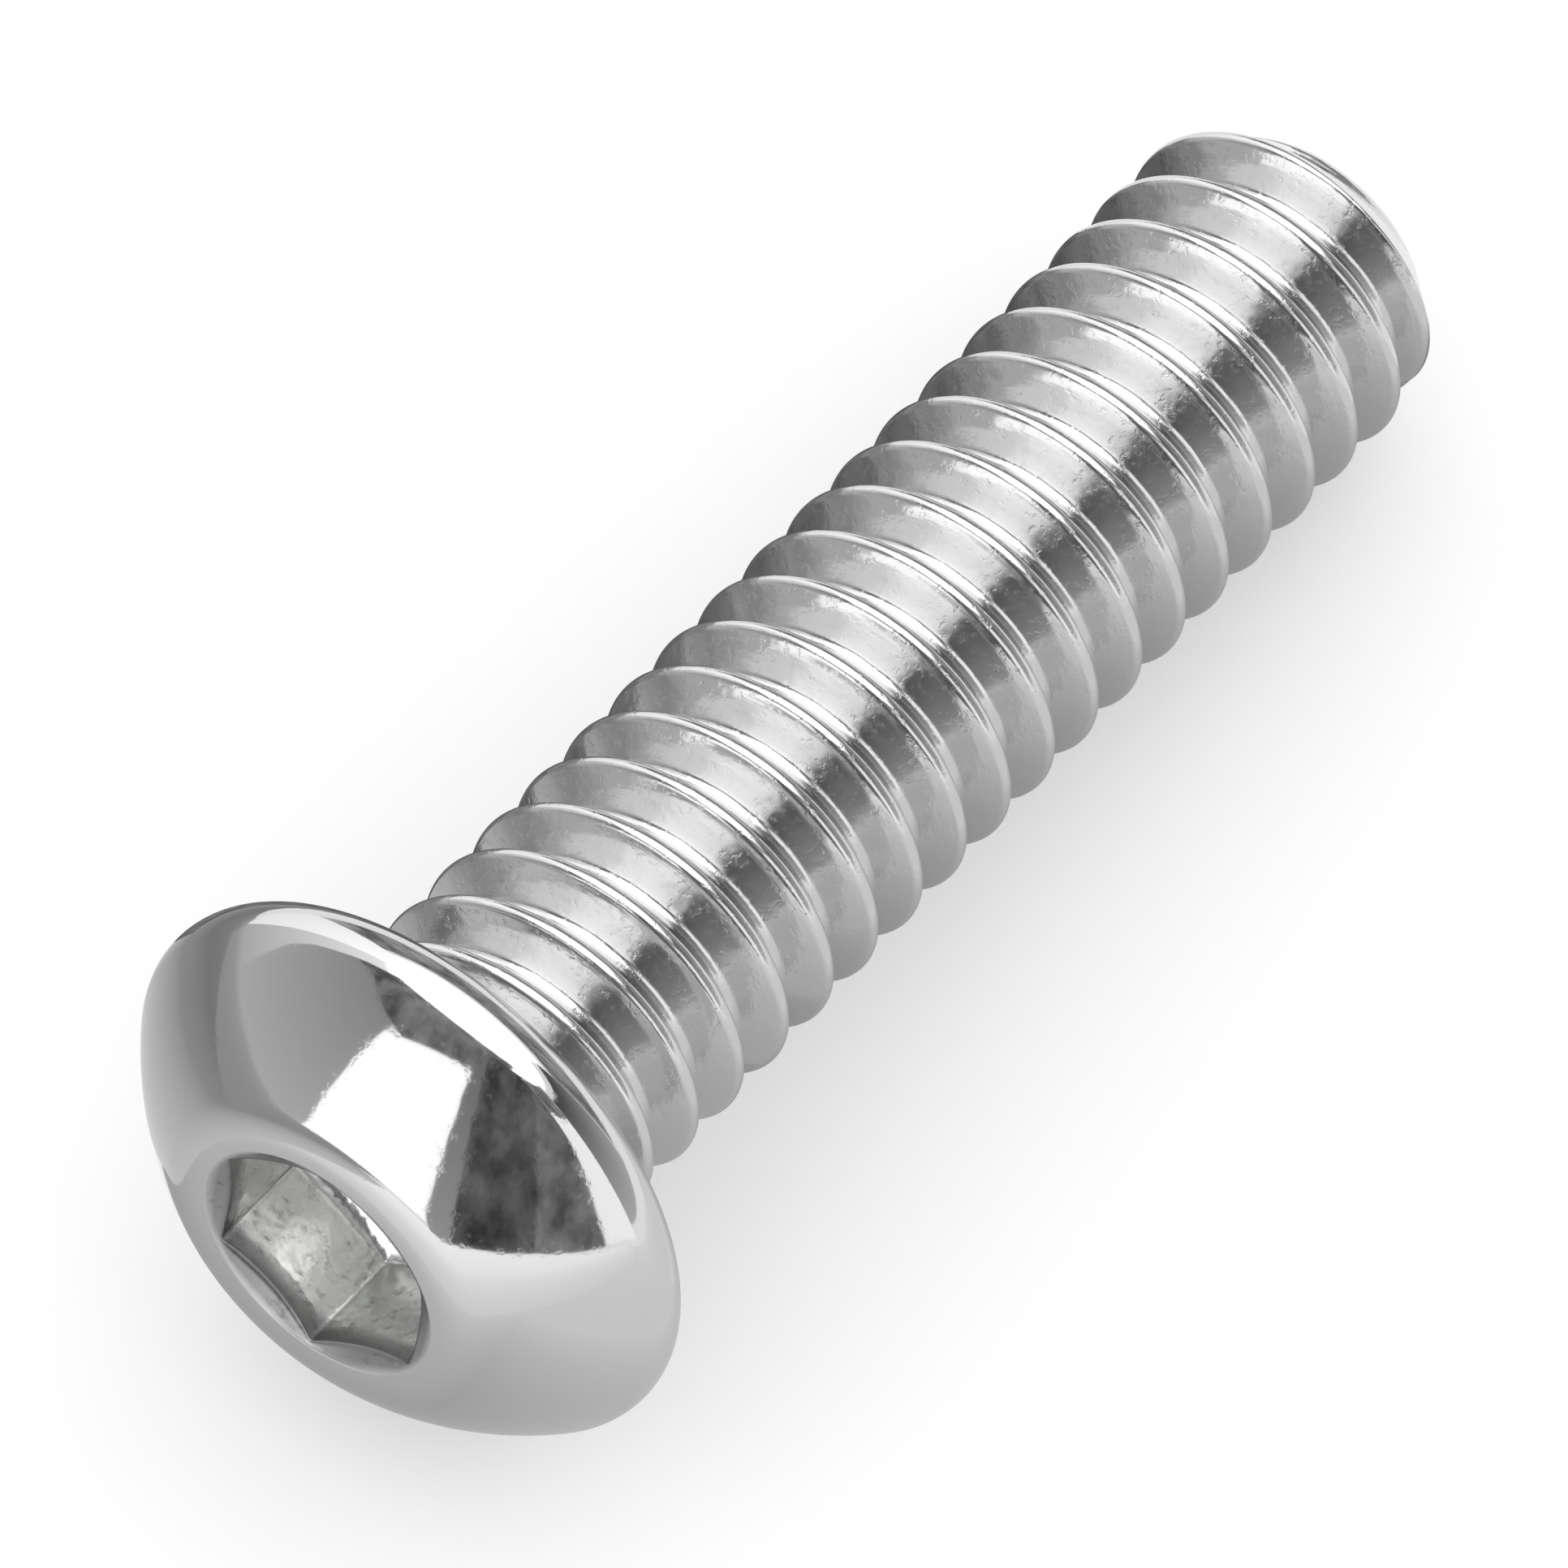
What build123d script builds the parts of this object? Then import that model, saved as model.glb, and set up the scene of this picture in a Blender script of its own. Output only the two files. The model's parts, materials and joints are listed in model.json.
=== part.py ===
from build123d import *
import os
from math import atan2, cos, degrees, floor, pi, radians, sin, sqrt, tan

# Button head socket cap screw, quarter inch by one inch, twenty threads to the inch.
# It is one forged and thread-rolled piece. All sizes are in millimetres.
# It is modelled along its own axis: the bearing face under the head lies at z = 0,
# the shank runs up to the tip at +z and the head stands below, at -z.
# At the end it is laid down as it rests on a table: on the rim of its head and the
# last full crest of its thread, with the tip towards +X.
# The thread, the rim and the neck are cut into flats; all other curves are true ones.

# Thread, right hand
thread_pitch = 1.27
major_diameter = 6.22
crest_width = 0.20
thread_angle = 60.0
root_radius = 0.20

# Shank, measured from the bearing face; the groove's middle passes its start at turn 0
shank_length = 25.4
groove_start = 0.49

# Tip
tip_chamfer = 0.96
tip_edge_radius = 0.40
tip_chamfer_angle = 45.0

# Head
head_diameter = 11.0
head_height = 3.30
crown_radius = 6.50
crown_edge_radius = 1.50
rim_radius = 0.75
neck_flare = 0.25
neck_step = 0.06

# Hexagon socket
socket_across_flats = 3.97
socket_depth = 2.20
socket_floor_angle = 140.0
socket_mouth_diameter = 4.76
socket_mouth_angle = 90.0

# How the screw is turned about its own axis: the thread and the hexagon are not timed
# to each other, so each has an angle of its own. The thread's puts the middle of a facet
# straight below the axis as the screw lies, and the head's puts its seam at the side,
# so that the screw lies on flats and does not roll.
thread_clocking = 52.5
head_clocking = 90.0
socket_clocking = 0.0

# Facets: curves this tight are cut into flats, which keeps the solid light
facets_per_turn = 24
root_facets = 3
rim_crown_facets = 2
rim_seat_facets = 3

# Construction
spare_turns = 2
crest_margin = 0.02
cut_margin = 0.15
seat_overlap = 0.50

major_radius = major_diameter / 2
neck_radius = major_radius - neck_step
tip_radius = major_radius - tip_chamfer
head_radius = head_diameter / 2
flank_slope = tan(radians(thread_angle / 2))

# The groove, the sharp V that its flanks would meet in, and the round root that fills it
groove_half_width = (thread_pitch - crest_width) / 2
v_radius = major_radius - groove_half_width / flank_slope
root_centre_radius = v_radius + root_radius / sin(radians(thread_angle / 2))

# Half of a facet's turn, and how far from the axis the middle of the crest's flats lies
facet_half_angle = 180.0 / facets_per_turn
crest_flat_radius = major_radius * cos(radians(facet_half_angle))

# The turns that the threaded rod is made with, counted from the groove's start
first_turn = -floor(groove_start / thread_pitch) - spare_turns
last_turn = floor((shank_length - groove_start) / thread_pitch) + spare_turns


def groove_section():
    """The groove across its run, as (radius, offset along the axis) from crest to crest."""
    half_turn = 90.0 - thread_angle / 2
    section = [(major_radius, -groove_half_width)]
    for step in range(root_facets + 1):
        angle = radians(-half_turn + 2 * half_turn * step / root_facets)
        radius = root_centre_radius - root_radius * cos(angle)
        section.append((radius, root_radius * sin(angle)))
    section.append((major_radius, groove_half_width))
    return section


def thread_point(turn, radius, offset):
    """A point on the helix that one corner of the groove's section follows."""
    angle = 2 * pi * turn
    height = groove_start + thread_pitch * turn + offset
    return Vector(radius * cos(angle), radius * sin(angle), height)


def axis_point(point):
    """The point of the axis that lies level with this one."""
    return Vector(0, 0, point.Z)


def skin_row(turn, station):
    """The skin's corners across one turn of thread, from this groove's edge to the next one's."""
    section = groove_section()
    row = [thread_point(station, *corner) for corner in section]
    if turn == first_turn:
        row.insert(0, axis_point(row[0]))
    if turn == last_turn:
        row.append(axis_point(row[-1]))
    else:
        row.append(thread_point(station + 1, *section[0]))
    return row


def facet(near_low, near_high, far_high, far_low):
    """One facet of the skin, ruled between the corners at two stations."""
    return Face.make_surface_from_curves(
        Edge.make_line(near_low, near_high), Edge.make_line(far_low, far_high)
    )


def end_step(corners):
    """Closes the rod where its skin stops, with the flat step that one turn leaves."""
    return Face(Wire.make_polygon(corners, close=True))


def threaded_rod():
    """A rod whose whole skin is the thread: a root, two flanks and a crest for each turn.

    The skin starts and stops with a ramp in to the axis, outside what the shank keeps.
    """
    skin = []
    for turn in range(first_turn, last_turn + 1):
        stations = [turn + step / facets_per_turn for step in range(facets_per_turn + 1)]
        rows = [skin_row(turn, station) for station in stations]
        for near, far in zip(rows, rows[1:]):
            skin += [facet(*corners) for corners in zip(near, near[1:], far[1:], far)]
    start = skin_row(first_turn, first_turn)
    skin.append(end_step(start + [axis_point(start[-1])]))
    ramp_foot = thread_point(last_turn, *groove_section()[-1])
    finish = skin_row(last_turn, last_turn + 1)
    skin.append(end_step([axis_point(ramp_foot), ramp_foot] + finish))
    return Solid(Shell(skin))


def on_profile(radius, height):
    """A point of a turned profile, drawn beside the axis."""
    return Vector(radius, 0, height)


def arc_middle(centre, start, end, radius):
    """The point halfway along the short arc from start to end."""
    return centre + ((start + end) / 2 - centre).normalized() * radius


def turned(edges):
    return revolve(Face(Wire(edges)), Axis.Z)


def shank_envelope():
    """What the shank keeps of the threaded rod: its length under the head, with a chamfered tip."""
    blank_radius = major_radius + crest_margin
    chamfer_slope = tan(radians(tip_chamfer_angle))
    chamfer_start = shank_length - (blank_radius - tip_radius) * chamfer_slope
    outline = Wire.make_polygon(
        [
            on_profile(0, -seat_overlap),
            on_profile(blank_radius, -seat_overlap),
            on_profile(blank_radius, chamfer_start),
            on_profile(tip_radius, shank_length),
            on_profile(0, shank_length),
        ],
        close=True,
    )
    tip_corner = outline.vertices().sort_by(Axis.Z).filter_by(lambda v: v.X > 0)[-1]
    outline = outline.fillet_2d(tip_edge_radius, [tip_corner])
    return revolve(Face(outline), Axis.Z)


def rim_corners(centre, crown_angle):
    """The corners of the rim's flats: from the crown to the widest circle, then to the bearing face."""
    angles = [crown_angle * (1 - step / rim_crown_facets) for step in range(rim_crown_facets)]
    angles += [pi / 2 * step / rim_seat_facets for step in range(rim_seat_facets + 1)]
    return [centre + on_profile(rim_radius * cos(angle), rim_radius * sin(angle)) for angle in angles]


def head_blank():
    """The button head: flat top, ball crown, rounded rim, flat bearing face and flared neck."""
    rim_centre = on_profile(head_radius - rim_radius, -rim_radius)
    crown_depth = sqrt((crown_radius - rim_radius) ** 2 - rim_centre.X**2)
    crown_centre = on_profile(0, crown_depth - rim_radius)
    edge_height = crown_edge_radius - head_height
    edge_drop = crown_centre.Z - edge_height
    edge_centre = on_profile(sqrt((crown_radius - crown_edge_radius) ** 2 - edge_drop**2), edge_height)
    flat_end = on_profile(edge_centre.X, -head_height)
    crown_start = crown_centre + (edge_centre - crown_centre).normalized() * crown_radius
    rim = rim_corners(rim_centre, -atan2(crown_depth, rim_centre.X))
    crown_middle = arc_middle(crown_centre, crown_start, rim[0], crown_radius)
    edge_middle = arc_middle(edge_centre, flat_end, crown_start, crown_edge_radius)
    top_middle = on_profile(0, -head_height)
    inside = [
        rim[-1],
        on_profile(neck_radius + neck_flare, 0),
        on_profile(neck_radius, neck_flare),
        on_profile(0, neck_flare),
        top_middle,
    ]
    return turned(
        [
            Edge.make_line(top_middle, flat_end),
            Edge.make_three_point_arc(flat_end, edge_middle, crown_start),
            Edge.make_three_point_arc(crown_start, crown_middle, rim[0]),
            *[Edge.make_line(*flat) for flat in zip(rim, rim[1:])],
            *[Edge.make_line(*flat) for flat in zip(inside, inside[1:])],
        ]
    )


def socket():
    """The hexagon socket: straight walls, a shallow cone for a floor and a countersunk mouth."""
    corner_radius = socket_across_flats / 2 / cos(radians(30))
    mouth_radius = socket_mouth_diameter / 2
    floor_depth = corner_radius / tan(radians(socket_floor_angle / 2))
    mouth_depth = mouth_radius / tan(radians(socket_mouth_angle / 2))
    hexagon = RegularPolygon(corner_radius, 6, rotation=socket_clocking)
    top = -head_height
    walls = extrude(Pos(0, 0, top) * hexagon, socket_depth + floor_depth)
    bottom = top + socket_depth
    limit = Wire.make_polygon(
        [
            on_profile(0, top - cut_margin),
            on_profile(corner_radius + cut_margin, top - cut_margin),
            on_profile(corner_radius + cut_margin, bottom),
            on_profile(corner_radius, bottom),
            on_profile(0, bottom + floor_depth),
        ],
        close=True,
    )
    mouth = Wire.make_polygon(
        [on_profile(0, top), on_profile(mouth_radius, top), on_profile(0, top + mouth_depth)],
        close=True,
    )
    return (walls & revolve(Face(limit), Axis.Z)) + revolve(Face(mouth), Axis.Z)


def screw():
    """The whole screw along its own axis."""
    shank = threaded_rod() & shank_envelope()
    shank = Rot(0, 0, thread_clocking) * shank
    head = Rot(0, 0, head_clocking) * head_blank()
    return head + shank - socket()


def last_full_crest():
    """Where the crest's facet that lies on the table ends, along the axis from the bearing face."""
    full_end = shank_length - tip_chamfer * tan(radians(tip_chamfer_angle))
    corner_turn = (facet_half_angle - thread_clocking) / 360.0
    crest_end = groove_start + thread_pitch * corner_turn - groove_half_width
    turns_to_end = floor((full_end - crest_end) / thread_pitch)
    last_end = crest_end + thread_pitch * turns_to_end
    next_start = last_end + thread_pitch - crest_width
    return full_end if next_start < full_end else last_end


def resting_tilt():
    """The slope of the axis when the head's widest circle and the last full crest touch the table."""
    return degrees(atan2(head_radius - crest_flat_radius, last_full_crest() + rim_radius))


def laid_down(solid):
    """Lies on the table, with the middle of its footprint at the origin and the tip at +X."""
    tilt = resting_tilt()
    lying = Rot(0, 90 + tilt, 0) * solid
    axis_height = crest_flat_radius * cos(radians(tilt)) + last_full_crest() * sin(radians(tilt))
    box = lying.bounding_box()
    return Pos(-(box.min.X + box.max.X) / 2, 0, axis_height) * lying


os.makedirs("parts", exist_ok=True)
button_head_screw = laid_down(screw())
export_step(button_head_screw, "parts/button_head_screw.step")
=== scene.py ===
"""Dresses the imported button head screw: one chromed piece on a pale floor, in a plain studio.

The screw is modelled along its own axis at a thousand times its size, so one unit is one
millimetre, because Blender's operators round off near a micrometre. It is then shrunk and
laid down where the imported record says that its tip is.
"""

import json
import logging
import math
from dataclasses import dataclass, field
from enum import Enum
from typing import Iterable, Sequence

import bpy
import numpy as np
from mathutils import Matrix, Vector

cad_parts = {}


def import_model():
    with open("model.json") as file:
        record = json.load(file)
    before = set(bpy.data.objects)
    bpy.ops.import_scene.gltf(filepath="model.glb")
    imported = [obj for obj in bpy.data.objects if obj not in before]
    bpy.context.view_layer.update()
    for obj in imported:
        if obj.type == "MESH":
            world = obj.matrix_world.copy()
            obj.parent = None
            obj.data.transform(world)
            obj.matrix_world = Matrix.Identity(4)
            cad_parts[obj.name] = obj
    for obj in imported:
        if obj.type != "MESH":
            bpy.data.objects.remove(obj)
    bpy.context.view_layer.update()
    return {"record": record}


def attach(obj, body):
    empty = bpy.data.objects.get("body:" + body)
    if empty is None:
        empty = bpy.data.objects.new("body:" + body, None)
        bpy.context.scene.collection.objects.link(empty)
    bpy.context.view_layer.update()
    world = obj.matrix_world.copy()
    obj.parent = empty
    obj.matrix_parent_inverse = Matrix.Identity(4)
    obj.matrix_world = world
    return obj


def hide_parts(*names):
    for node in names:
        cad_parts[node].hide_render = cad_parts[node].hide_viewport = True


log = logging.getLogger("screw")

Point = tuple[float, float]
Pair = tuple[float, float]
Colour = tuple[float, float, float, float]
Socket = bpy.types.NodeSocket

# A millimetre in metres, then two lengths in millimetres: corners nearer than the first
# one are welded, and an edge shorter than the second one is taken out.
MILLIMETRE = 0.001
WELD = 0.002
SLIVER = WELD / 20

# From one flat of the hexagon to the next.
FLAT_TURN = math.radians(60.0)


class Coat(Enum):
    """How evenly a stage card glows."""

    PLAIN = "plain"
    BLOTCHED = "blotched"


# --- Bench tools -----------------------------------------------------------------------


def deselect_all() -> None:
    """Leaves edit mode and lets go of every object."""
    if bpy.context.object and bpy.context.object.mode != "OBJECT":
        bpy.ops.object.mode_set(mode="OBJECT")
    bpy.ops.object.select_all(action="DESELECT")


def pick(*pieces: bpy.types.Object) -> None:
    """Selects these objects alone, the first one active.

    Args:
        pieces: The objects to select.
    """
    deselect_all()
    for piece in pieces:
        piece.select_set(True)
    bpy.context.view_layer.objects.active = pieces[0]


def drawn_outline(name: str, corners: Sequence[Point]) -> bpy.types.Object:
    """Draws an open outline beside the axis, one extruded corner after another.

    Args:
        name: The new object's name.
        corners: (radius, height) of each corner, in millimetres.

    Returns:
        The outline's object, in object mode.
    """
    deselect_all()
    radius, height = corners[0]
    bpy.ops.mesh.primitive_plane_add(size=1.0, location=(radius, 0.0, height))
    outline = bpy.context.object
    outline.name = name
    bpy.ops.object.transform_apply(location=True, rotation=False, scale=False)
    bpy.ops.object.mode_set(mode="EDIT")
    bpy.ops.mesh.select_mode(type="VERT")
    bpy.ops.mesh.select_all(action="SELECT")
    bpy.ops.mesh.merge(type="CENTER")
    for (near_r, near_z), (far_r, far_z) in zip(corners, corners[1:]):
        step = (far_r - near_r, 0.0, far_z - near_z)
        bpy.ops.mesh.extrude_region_move(TRANSFORM_OT_translate={"value": step})
    bpy.ops.object.mode_set(mode="OBJECT")
    return outline


def apply_modifier(piece: bpy.types.Object, modifier: bpy.types.Modifier) -> None:
    """Applies one modifier to the piece that carries it."""
    pick(piece)
    bpy.ops.object.modifier_apply(modifier=modifier.name)


def weld(piece: bpy.types.Object) -> None:
    """Merges a piece's doubles and turns its faces outwards.

    Args:
        piece: The piece, joined from parts that meet.
    """
    pick(piece)
    bpy.ops.object.mode_set(mode="EDIT")
    bpy.ops.mesh.select_all(action="SELECT")
    bpy.ops.mesh.remove_doubles(threshold=WELD)
    bpy.ops.mesh.dissolve_degenerate(threshold=SLIVER)
    bpy.ops.mesh.normals_make_consistent(inside=False)
    bpy.ops.object.mode_set(mode="OBJECT")


def read_points(mesh: bpy.types.Mesh) -> np.ndarray:
    """Reads where a mesh's corners are.

    Args:
        mesh: The mesh to read.

    Returns:
        One row of x, y and z for each corner.
    """
    points = np.empty(len(mesh.vertices) * 3)
    mesh.vertices.foreach_get("co", points)
    return points.reshape(-1, 3)


def write_points(mesh: bpy.types.Mesh, points: np.ndarray) -> None:
    """Moves the mesh's corners to these places."""
    mesh.vertices.foreach_set("co", points.astype(np.float32).ravel())
    mesh.update()


def ramp(values: np.ndarray, start: float, end: float) -> np.ndarray:
    """Rises evenly from 0 at the start to 1 at the end, and stays level outside them."""
    return np.clip((values - start) / (end - start), 0.0, 1.0)


def bent(start: np.ndarray, corner: np.ndarray, end: np.ndarray, share: np.ndarray) -> np.ndarray:
    """A place on the curve that rounds a corner off, by its share of the way."""
    return (1 - share) ** 2 * start + 2 * share * (1 - share) * corner + share**2 * end


def soft_least(first: np.ndarray, second: np.ndarray, blend: float) -> np.ndarray:
    """The lesser of two values, with the crease between them rounded over a blend width."""
    near = np.clip(blend - np.abs(first - second), 0.0, None) / blend
    return np.minimum(first, second) - near * near * blend / 4


def arc(centre: Point, radius: float, start: float, end: float, steps: int) -> list[Point]:
    """Corners along an arc of a turned outline.

    Args:
        centre: (radius, height) of the arc's centre.
        radius: The arc's own radius.
        start: Angle of its first corner in degrees, from the radius towards the tip.
        end: Angle of its last corner in degrees.
        steps: How many edges the arc has.

    Returns:
        The corners, ends included.
    """
    angles = [math.radians(start + (end - start) * k / steps) for k in range(steps + 1)]
    return [(centre[0] + radius * math.cos(a), centre[1] + radius * math.sin(a)) for a in angles]


def line(start: Point, end: Point, steps: int) -> list[Point]:
    """Evenly spaced corners between two places.

    Args:
        start: (radius, height) of the first place.
        end: The same of the second one.
        steps: How many edges lie between them.

    Returns:
        The corners, ends left out.
    """
    return [
        (start[0] + (end[0] - start[0]) * k / steps, start[1] + (end[1] - start[1]) * k / steps)
        for k in range(1, steps)
    ]


# --- The screw -------------------------------------------------------------------------


@dataclass
class Thread:
    """The right-hand rolled thread and the shank that it is rolled on, in millimetres.

    The rod is rolled longer than the shank at both ends. Under the head, the spare is pressed
    flat into the neck's circle. Past the tip it is drawn in to the axis, by tip_draw for each
    millimetre. Within neck_zone of the neck, the thread's radius is held between two slopes.
    """

    pitch: float = 1.27
    crest_radius: float = 3.11
    crest_width: float = 0.20
    flank_angle: float = 30.0
    root_rounding: float = 0.20
    crest_rounding: float = 0.16
    groove_start: float = 0.49
    clocking: float = 52.5
    neck_radius: float = 3.05
    neck_end: float = 0.25
    neck_fall: float = 1.6
    length: float = 25.4
    chamfer: float = 0.96
    tip_rounding: float = 0.40
    steps_per_turn: int = 144
    crest_steps: int = 6
    flank_steps: int = 3
    root_steps: int = 8
    soft_edge: float = 0.05
    neck_zone: float = 1.0
    spare_turns: float = 1.5
    spare_end: float = 5.0
    tip_draw: float = 2.0

    def tooth_outline(self) -> list[Point]:
        """Draws one pitch of the thread beside the axis.

        Returns:
            Its corners, from the middle of one crest to the middle of the next.
        """
        slope = math.tan(math.radians(self.flank_angle))
        side = 90.0 - self.flank_angle
        half_groove = (self.pitch - self.crest_width) / 2
        v_radius = self.crest_radius - half_groove / slope
        apex = v_radius + self.pitch / 2 / slope
        root = (v_radius + self.root_rounding / math.sin(math.radians(self.flank_angle)), 0.0)
        over = self.crest_radius - self.crest_rounding
        spread = (apex - over) * math.sin(math.radians(self.flank_angle)) / self.crest_rounding
        crest_side = side if spread >= 1.0 else math.degrees(math.asin(spread))
        near, far = (over, -self.pitch / 2), (over, self.pitch / 2)
        low = arc(near, self.crest_rounding, 0.0, crest_side, self.crest_steps)
        groove = arc(root, self.root_rounding, 180.0 + side, 180.0 - side, self.root_steps)
        high = arc(far, self.crest_rounding, -crest_side, 0.0, self.crest_steps)
        falling = line(low[-1], groove[0], self.flank_steps)
        rising = line(groove[-1], high[0], self.flank_steps)
        return low + falling + groove + rising + high

    def roll(self) -> bpy.types.Object:
        """Rolls the tooth up the shank with a screw modifier, then dresses both its ends.

        Returns:
            The shank, open under the head.
        """
        first = self.groove_start - self.pitch * self.clocking / 360.0
        first -= self.pitch * math.ceil(first / self.pitch + self.spare_turns)
        turns = math.ceil((self.length + self.spare_end - first) / self.pitch)
        outline = [(radius, height + first) for radius, height in self.tooth_outline()]
        shank = drawn_outline("shank", outline)
        screw = shank.modifiers.new("thread", "SCREW")
        screw.axis = "Z"
        screw.steps = screw.render_steps = self.steps_per_turn
        screw.screw_offset = self.pitch
        screw.iterations = turns
        apply_modifier(shank, screw)
        self.press(shank.data)
        return shank

    def press(self, mesh: bpy.types.Mesh) -> None:
        """Runs the thread in to a round neck under the head, and gives the shank its tip.

        Args:
            mesh: The rolled rod, longer than the shank at both ends.
        """
        points = read_points(mesh)
        angle = np.arctan2(points[:, 1], points[:, 0])
        radius = np.hypot(points[:, 0], points[:, 1])
        height = np.clip(points[:, 2], self.neck_end, None)
        over = height - self.neck_end
        widest = self.neck_radius + over
        slimmest = self.neck_radius - over * self.neck_fall
        eased = -soft_least(-soft_least(radius, widest, self.soft_edge), -slimmest, self.soft_edge)
        radius = np.where(over < self.neck_zone, np.clip(eased, slimmest, widest), radius)
        radius, height = self.dress_tip(radius, height)
        write_points(mesh, np.stack([radius * np.cos(angle), radius * np.sin(angle), height], 1))

    def dress_tip(self, radius: np.ndarray, height: np.ndarray) -> tuple[np.ndarray, np.ndarray]:
        """Leads the rod's corners down the chamfer, round the edge and in over the flat tip.

        Args:
            radius: Distance of each corner from the axis.
            height: Its height along the axis.

        Returns:
            The new radii and heights.
        """
        bevel = math.radians(45.0)
        tip_radius = self.crest_radius - self.chamfer
        cone_start = self.length - self.chamfer
        tangent = self.tip_rounding * math.tan(bevel / 2)
        arc_start = self.length - tangent * math.cos(bevel)
        cone = self.crest_radius - (height - cone_start)
        radius = soft_least(radius, cone, self.soft_edge)
        run = np.clip(height - arc_start, 0.0, None) / math.cos(bevel)
        arc_length = self.tip_rounding * bevel
        swing = bevel + np.clip(run, 0.0, arc_length) / self.tip_rounding
        centre = (tip_radius - tangent, self.length - self.tip_rounding)
        inwards = np.clip(run - arc_length, 0.0, None) * self.tip_draw
        round_radius = centre[0] + self.tip_rounding * np.cos(swing) - inwards
        round_height = centre[1] + self.tip_rounding * np.sin(swing)
        past = run > 0
        return (
            np.where(past, np.clip(round_radius, 0.0, None), radius),
            np.where(past, round_height, height),
        )


@dataclass
class ButtonHead:
    """The domed head with its hexagon socket, in millimetres. Its bearing face is at zero.

    The side stops are shares of the way up the socket's side: where its wall ends, its rounded
    edge, the countersink, and the countersink's rounded rim. Each is a whole number of side
    steps. Crowding draws the mesh together at the hexagon's corners, from its reach inwards.
    """

    radius: float = 5.492
    height: float = 3.30
    crown_radius: float = 6.50
    crown_edge: float = 1.50
    rim: float = 0.75
    neck_radius: float = 3.05
    neck_flare: float = 0.25
    across_flats: float = 3.97
    socket_depth: float = 2.20
    floor_angle: float = 140.0
    mouth_radius: float = 2.38
    mouth_fall: float = 0.50
    corner_rounding: float = 0.10
    edge_rounding: float = 0.10
    rim_rounding: float = 0.03
    most_rounding: float = 0.45
    steps_per_turn: int = 144
    floor_steps: int = 8
    side_steps: int = 24
    side_stops: tuple[float, ...] = (0.0, 1 / 2, 3 / 4, 5 / 6, 1.0)
    flat_steps: int = 4
    edge_steps: int = 10
    crown_steps: int = 32
    rim_steps: int = 26
    neck_steps: int = 6
    crowding: float = 0.40
    crowding_reach: float = 4.2

    @property
    def corner_radius(self) -> float:
        """From the axis to a sharp corner of the hexagon."""
        return self.across_flats / 2 / math.cos(FLAT_TURN / 2)

    def outline(self) -> list[Point]:
        """Draws the head beside the axis.

        Returns:
            Its corners, from the middle of the socket's floor to the neck.
        """
        top = -self.height
        rim_centre = (self.radius - self.rim, -self.rim)
        crown_z = math.sqrt((self.crown_radius - self.rim) ** 2 - rim_centre[0] ** 2) - self.rim
        edge_z = self.crown_edge - self.height
        edge_r = math.sqrt((self.crown_radius - self.crown_edge) ** 2 - (crown_z - edge_z) ** 2)
        crown_start = -math.degrees(math.atan2(crown_z - edge_z, edge_r))
        crown_end = -math.degrees(math.atan2(crown_z + self.rim, rim_centre[0]))
        bottom = top + self.socket_depth
        floor_z = bottom + self.corner_radius / math.tan(math.radians(self.floor_angle / 2))
        middle, foot, mouth = (0.0, floor_z), (self.corner_radius, bottom), (self.corner_radius, top)
        hole = [middle] + line(middle, foot, self.floor_steps)
        hole += [foot] + line(foot, mouth, self.side_steps) + [mouth]
        flat = line((self.mouth_radius, top), (edge_r, top), self.flat_steps)
        edge = arc((edge_r, edge_z), self.crown_edge, -90.0, crown_start, self.edge_steps)
        crown = arc((0.0, crown_z), self.crown_radius, crown_start, crown_end, self.crown_steps)
        rim = arc(rim_centre, self.rim, crown_end, 90.0, self.rim_steps)
        fillet_centre = (self.neck_radius + self.neck_flare, self.neck_flare)
        neck = arc(fillet_centre, self.neck_flare, 270.0, 180.0, self.neck_steps)
        seat = line(rim[-1], neck[0], self.flat_steps)
        return hole + flat + edge + crown[1:] + rim[1:] + seat + neck

    def turn(self) -> bpy.types.Object:
        """Spins the outline into the head and presses the socket into a hexagon.

        Returns:
            The head, open at the neck.
        """
        head = drawn_outline("head", self.outline())
        bpy.ops.object.mode_set(mode="EDIT")
        bpy.ops.mesh.select_all(action="SELECT")
        bpy.ops.mesh.spin(
            steps=self.steps_per_turn, angle=math.tau, center=(0, 0, 0), axis=(0, 0, 1)
        )
        bpy.ops.object.mode_set(mode="OBJECT")
        self.press(head.data)
        return head

    def hexagon(self, angle: np.ndarray) -> np.ndarray:
        """Finds the hexagon's wall, with its corners rounded.

        Args:
            angle: Directions from the axis, in radians.

        Returns:
            How far the wall lies from the axis in each direction.
        """
        inside = self.across_flats / 2
        off_flat = angle % FLAT_TURN - FLAT_TURN / 2
        wall = inside / np.cos(off_flat)
        off_corner = FLAT_TURN / 2 - np.abs(off_flat)
        centre = (inside - self.corner_rounding) / math.cos(FLAT_TURN / 2)
        reach = self.corner_rounding**2 - (centre * np.sin(off_corner)) ** 2
        rounded = centre * np.cos(off_corner) + np.sqrt(np.clip(reach, 0.0, None))
        tangent = math.atan((inside - self.corner_rounding) * math.tan(FLAT_TURN / 2) / inside)
        return np.where(np.abs(off_flat) > tangent, rounded, wall)

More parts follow.
